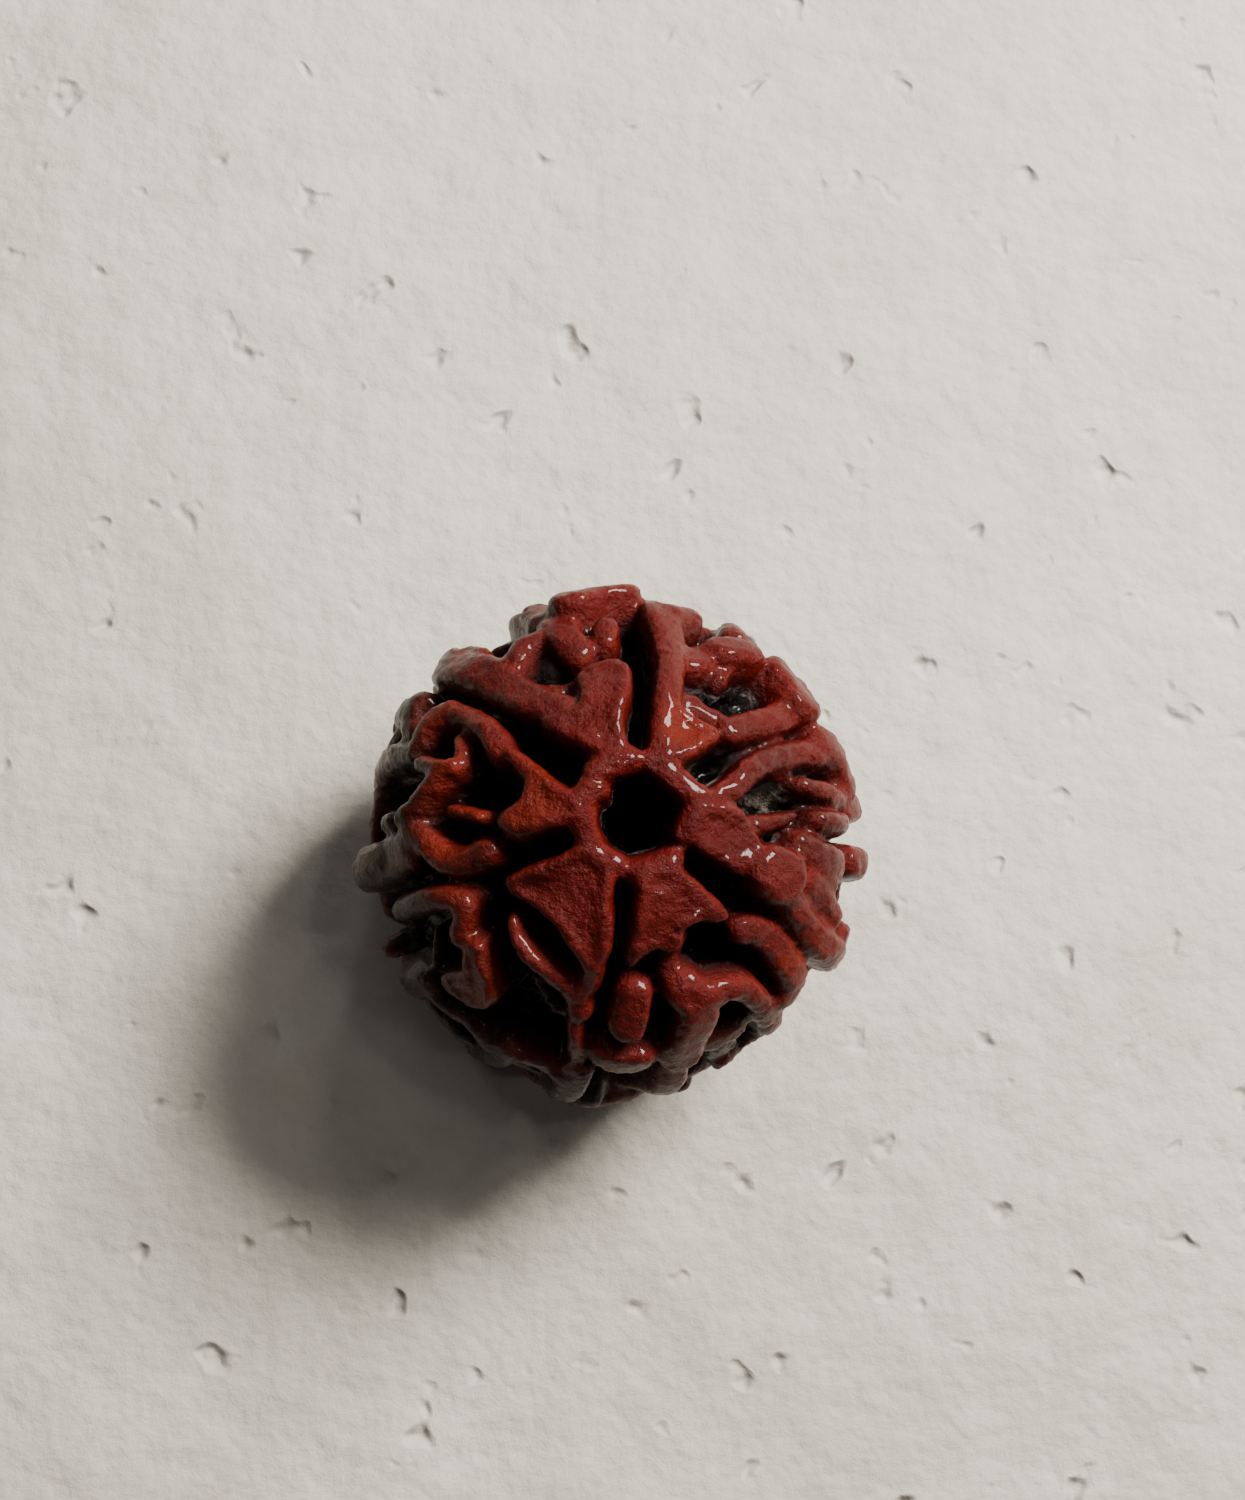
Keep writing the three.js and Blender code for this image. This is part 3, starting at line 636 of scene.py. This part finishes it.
class Nodes:
    """Short calls that build one node material."""

    def __init__(self, name):
        self.material = bpy.data.materials.new(name)
        self.material.use_nodes = True
        self.tree = self.material.node_tree
        self.shader = self.tree.nodes["Principled BSDF"]

    def add(self, kind, inputs=None, **settings):
        node = self.tree.nodes.new(kind)
        for key, value in settings.items():
            setattr(node, key, value)
        for key, value in (inputs or {}).items():
            self.set(node.inputs[key], value)
        return node

    def set(self, socket, value):
        if isinstance(value, bpy.types.NodeSocket):
            self.tree.links.new(value, socket)
        else:
            socket.default_value = value

    def attribute(self, name):
        return self.add("ShaderNodeAttribute", attribute_name=name).outputs["Fac"]

    def place(self):
        return self.add("ShaderNodeTexCoord").outputs["Object"]

    def noise(self, scale, detail=4.0, roughness=0.55):
        inputs = {"Vector": self.place(), "Scale": scale, "Detail": detail, "Roughness": roughness}
        return self.add("ShaderNodeTexNoise", inputs).outputs["Fac"]

    def range(self, value, from_low, from_high, to_low=0.0, to_high=1.0):
        inputs = {"Value": value, "From Min": from_low, "From Max": from_high}
        inputs.update({"To Min": to_low, "To Max": to_high})
        return self.add("ShaderNodeMapRange", inputs, interpolation_type="SMOOTHSTEP").outputs["Result"]

    def math(self, operation, first, second):
        return self.add("ShaderNodeMath", {0: first, 1: second}, operation=operation).outputs[0]

    def plus(self, first, second):
        return self.math("ADD", first, second)

    def times(self, first, second):
        return self.math("MULTIPLY", first, second)

    def mix(self, share, first, second):
        return self.add("ShaderNodeMix", {0: share, 6: first, 7: second}, data_type="RGBA").outputs[2]

    def bump(self, height, strength, distance):
        inputs = {"Height": height, "Strength": strength, "Distance": distance}
        return self.add("ShaderNodeBump", inputs).outputs["Normal"]

    def surface(self, settings):
        """Sets the shader's own inputs, each to a plain value or another node's result."""
        for name, value in settings.items():
            self.set(self.shader.inputs[name], value)


def tone(red, green, blue):
    """A colour given in display values from 0 to 255, as the linear colour that shaders take."""
    shares = [value / 255 for value in (red, green, blue)]
    linear = [((share + 0.055) / 1.055) ** 2.4 if share > 0.04 else share / 12.92 for share in shares]
    return (*linear, 1.0)


RED_BROWN = tone(76, 12, 8)
# Orange of the painted warm light
ORANGE_BROWN = tone(94, 22, 8)
MAROON = tone(48, 6, 5)
# Paler red of the painted highlight along the crest edges
PAINTED_EDGE_HIGHLIGHT = tone(96, 22, 14)
FURROW = tone(6, 3, 3)
HUSK = tone(128, 116, 104)
# Dark brown of the painted shade on the low walls
PAINTED_SHADE_BROWN = tone(38, 18, 12)

# Oiled skin of the seed
COAT_WEIGHT = 0.17
COAT_ROUGHNESS = 0.06
COAT_IOR = 1.5
SKIN_SPECULAR = 0.1
SKIN_BUMP = 1.0
SKIN_BUMP_DISTANCE = 0.00035
FURROW_GLOSS = 0.2

# Fineness of the skin's markings, in noise cells a metre
MOTTLE = 420.0
BLOTCH = 160.0
HUSK_CRUMB = 900.0
FIBRE = 1300.0
SHEEN_PATCH = 700.0
FINE_GRAIN = 1500.0
FINEST_GRAIN = 2600.0


def crest_colour(nodes, mottle):
    """Red-brown crests, with painted warm light in orange, maroon blotches and paler edges that are a
    painted highlight.
    """
    # Painted warm light: orange laid on the crests in the spots, broken up by mottle
    painted_warm_light = nodes.range(nodes.attribute("painted_warm_light"), 0.05, 0.9)
    painted_warm_share = nodes.times(painted_warm_light, nodes.range(mottle, 0.3, 0.7, 0.55, 1.0))
    crest = nodes.mix(painted_warm_share, RED_BROWN, ORANGE_BROWN)
    crest = nodes.mix(nodes.range(nodes.noise(BLOTCH, 3.0), 0.42, 0.68, 0.0, 0.7), crest, MAROON)
    # Painted highlight: paler edges just inside the crest outlines, broken up by mottle
    outside = nodes.attribute("outside")
    edge = nodes.times(nodes.range(outside, -0.34, -0.12), nodes.range(outside, 0.02, -0.1))
    edge_highlight = nodes.times(edge, nodes.range(mottle, 0.35, 0.65, 0.1, 0.55))
    return nodes.mix(edge_highlight, crest, PAINTED_EDGE_HIGHLIGHT)


def skin_colour(nodes, depth, mottle, furrow):
    """The crests, darkening down their flanks, with husk in some furrows and painted shade on the walls low
    down on the side away from the window.
    """
    dark = nodes.mix(0.5, MAROON, FURROW)
    body = nodes.mix(nodes.range(depth, 0.35, 1.5), crest_colour(nodes, mottle), dark)
    body = nodes.mix(furrow, body, FURROW)
    husk = nodes.times(nodes.attribute("patch"), nodes.range(depth, 1.0, 1.8))
    husk = nodes.times(husk, nodes.range(nodes.noise(HUSK_CRUMB), 0.38, 0.6))
    body = nodes.mix(husk, body, HUSK)
    fibre = nodes.noise(FIBRE, 5.0, 0.7)
    # Painted shade: the low walls away from the window turn dark brown, streaked with fibre
    painted_shade = nodes.times(nodes.attribute("painted_shade"), nodes.range(fibre, 0.25, 0.6, 0.6, 1.0))
    return nodes.mix(painted_shade, body, nodes.mix(fibre, FURROW, PAINTED_SHADE_BROWN))


def seed_material():
    nodes = Nodes("oiled_seed")
    depth = nodes.attribute("depth")
    mottle = nodes.noise(MOTTLE, 5.0)
    ragged = nodes.plus(depth, nodes.range(mottle, 0.0, 1.0, -0.35, 0.35))
    furrow = nodes.range(ragged, 1.2, 2.1)
    gloss = nodes.range(nodes.noise(SHEEN_PATCH), 0.3, 0.7, 0.25, 0.42)
    gloss = nodes.math("SUBTRACT", gloss, nodes.times(furrow, FURROW_GLOSS))
    fine = nodes.times(nodes.noise(FINE_GRAIN, 6.0, 0.65), nodes.range(furrow, 0.0, 1.0, 0.9, 2.2))
    finest = nodes.times(nodes.noise(FINEST_GRAIN, 3.0, 0.7), nodes.range(furrow, 0.0, 1.0, 0.12, 2.2))
    nodes.surface({
        "Base Color": skin_colour(nodes, depth, mottle, furrow),
        "Roughness": gloss,
        "Coat Weight": COAT_WEIGHT,
        "Coat Roughness": COAT_ROUGHNESS,
        "Coat IOR": COAT_IOR,
        "Specular IOR Level": SKIN_SPECULAR,
        "Normal": nodes.bump(nodes.plus(fine, finest), SKIN_BUMP, SKIN_BUMP_DISTANCE),
    })
    return nodes.material


PLASTER = tone(203, 195, 183)
PLASTER_SHADE = tone(176, 168, 155)
PLASTER_ROUGHNESS = 0.75
PLASTER_SPECULAR = 0.3
PLASTER_BUMP = 0.8
PLASTER_BUMP_DISTANCE = 0.0008
FLOOR_SIZE = 1.2
FLOOR_FACES = 2

# Fineness of the plaster's markings, in noise cells a metre
CLOUD = 26.0
SWELL = 60.0
SPECKLE = 240.0
PITS = 330.0


def floor_material():
    nodes = Nodes("plaster")
    cloud = nodes.noise(CLOUD, 6.0, 0.6)
    speckle = nodes.noise(SPECKLE, 8.0, 0.7)
    share = nodes.plus(nodes.range(cloud, 0.3, 0.7, 0.0, 0.6), nodes.range(speckle, 0.35, 0.7, 0.0, 0.35))
    pits = nodes.range(nodes.noise(PITS, 2.0, 0.5), 0.24, 0.36)
    height = nodes.plus(nodes.times(speckle, 0.5), nodes.times(pits, 0.6))
    height = nodes.plus(height, nodes.times(nodes.noise(SWELL, 5.0, 0.6), 1.6))
    nodes.surface({
        "Base Color": nodes.mix(share, PLASTER, PLASTER_SHADE),
        "Roughness": PLASTER_ROUGHNESS,
        "Specular IOR Level": PLASTER_SPECULAR,
        "Normal": nodes.bump(height, PLASTER_BUMP, PLASTER_BUMP_DISTANCE),
    })
    return nodes.material


def make_floor():
    mesh = bpy.data.meshes.new("floor")
    form = bmesh.new()
    bmesh.ops.create_grid(form, x_segments=FLOOR_FACES, y_segments=FLOOR_FACES, size=FLOOR_SIZE / 2)
    form.to_mesh(mesh)
    form.free()
    mesh.materials.append(floor_material())
    floor = bpy.data.objects.new("floor", mesh)
    bpy.context.scene.collection.objects.link(floor)
    return floor


# The camera looks down the bore from 100 mm, leaning a little toward longitude 230
CAMERA_DISTANCE = 100.0
CAMERA_TILT = math.radians(10.0)
CAMERA_LEAN = math.radians(230.0)
FRAME_PIXELS = (1245, 1500)
SEED_PIXEL = (610, 846)
PIXEL_MM = 22.0 / 512
SENSOR_MM = 36.0
AIM_HEIGHT = 9.3
CLIP_START = 0.005


def make_camera():
    tilt, lean = CAMERA_TILT, CAMERA_LEAN
    back = Vector((math.sin(tilt) * math.cos(lean), math.sin(tilt) * math.sin(lean), math.cos(tilt)))
    right = Vector((0, 1, 0)).cross(back).normalized()
    up = back.cross(right)
    middle = Vector((0, 0, AIM_HEIGHT))
    eye = middle + back * CAMERA_DISTANCE
    aim = middle + right * (FRAME_PIXELS[0] / 2 - SEED_PIXEL[0]) * PIXEL_MM
    aim -= up * (FRAME_PIXELS[1] / 2 - SEED_PIXEL[1]) * PIXEL_MM
    back = (eye - aim).normalized()
    right = up.cross(back).normalized()
    up = back.cross(right)
    data = bpy.data.cameras.new("camera")
    data.sensor_width = SENSOR_MM
    data.lens = SENSOR_MM * CAMERA_DISTANCE / PIXEL_MM / FRAME_PIXELS[1]
    data.clip_start = CLIP_START
    camera = bpy.data.objects.new("camera", data)
    turn = Matrix((right, up, back)).transposed().to_4x4()
    camera.matrix_world = Matrix.Translation(eye * MM) @ turn
    bpy.context.scene.collection.objects.link(camera)
    bpy.context.scene.camera = camera


# A light is [name, azimuth and elevation in degrees, distance and size in metres, watts, colour]
LIGHTS = [
  ["window", 43, 46, 0.26, 0.088, 2.15, (1.0, 0.97, 0.92)],
  ["sky_fill", 110, 70, 0.7, 0.2, 0.2, (0.92, 0.96, 1.0)],
]

# Small lights that only make the skin glint, as [azimuth, elevation]
GLINTS = [[62, 62], [140, 58], [330, 60], [84, 44], [20, 78], [24, 50]]
GLINT_LIGHT = [0.5, 0.012, 0.09, (1.0, 0.98, 0.95)]
ROOM_COLOUR = (0.95, 0.97, 1.0, 1.0)
ROOM_STRENGTH = 0.04


def make_light(name, azimuth, elevation, distance, size, power, colour):
    """An area light that faces the seed."""
    turn, rise = math.radians(azimuth), math.radians(elevation)
    place = Vector((math.cos(turn) * math.cos(rise), math.sin(turn) * math.cos(rise), math.sin(rise)))
    data = bpy.data.lights.new(name, "AREA")
    data.size = size
    data.energy = power
    data.color = colour
    light = bpy.data.objects.new(name, data)
    light.location = place * distance
    light.rotation_euler = place.to_track_quat("Z", "Y").to_euler()
    bpy.context.scene.collection.objects.link(light)


def make_world():
    world = bpy.data.worlds.new("room")
    world.use_nodes = True
    background = world.node_tree.nodes["Background"]
    background.inputs["Color"].default_value = ROOM_COLOUR
    background.inputs["Strength"].default_value = ROOM_STRENGTH
    bpy.context.scene.world = world


make_camera()
make_world()
for light in LIGHTS:
    make_light(*light)
for number, place in enumerate(GLINTS):
    make_light(f"glint_{number}", *place, *GLINT_LIGHT)

seed = make_seed()
seed.data.materials.clear()
seed.data.materials.append(seed_material())
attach(seed, "root")
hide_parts("rudraksha_seed")

floor = make_floor()
